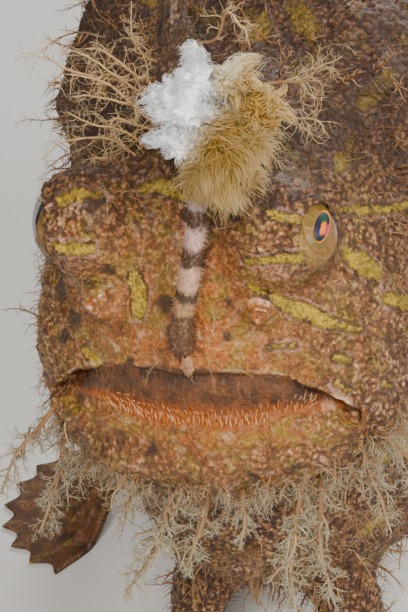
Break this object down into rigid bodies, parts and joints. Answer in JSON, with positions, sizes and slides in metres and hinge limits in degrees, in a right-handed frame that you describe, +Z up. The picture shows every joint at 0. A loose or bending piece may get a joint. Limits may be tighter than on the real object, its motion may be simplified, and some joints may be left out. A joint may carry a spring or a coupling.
{
  "type": "shaggy frogfish model",
  "caption": "Life-size still model of a shaggy frogfish standing on its limb-like fins, lure raised over an upturned mouth.",
  "frame": {"origin": "middle of the model's box, on the floor that its fins stand on", "axes": "+Z up, the fish faces -Y, its left side is +X"},
  "size_m": [0.1156, 0.1726, 0.1177],
  "materials": {
    "skin": "mottled tan and olive skin, slightly moist",
    "fin": "thin skin over rays, banded",
    "eye": "clear glossy dome over a gold-rayed iris",
    "stalk": "banded dark and pale skin",
    "lure": "soft cream and ochre filaments"
  },
  "bodies": {
    "root": {"head": "skin", "lower_jaw": "skin", "torso": "skin", "tail_root": "skin", "second_spine": "skin", "third_spine": "skin", "dorsal_fin": "fin", "anal_fin": "fin", "tail_fin": "fin", "eye_left": "eye", "eye_right": "eye", "lure_stalk": "stalk", "lure_tuft": "lure", "pectoral_arm_left": "fin", "pectoral_fin_left": "fin", "pectoral_arm_right": "fin", "pectoral_fin_right": "fin", "pelvic_arm_left": "fin", "pelvic_fin_left": "fin", "pelvic_arm_right": "fin", "pelvic_fin_right": "fin"}
  },
  "joints": []
}
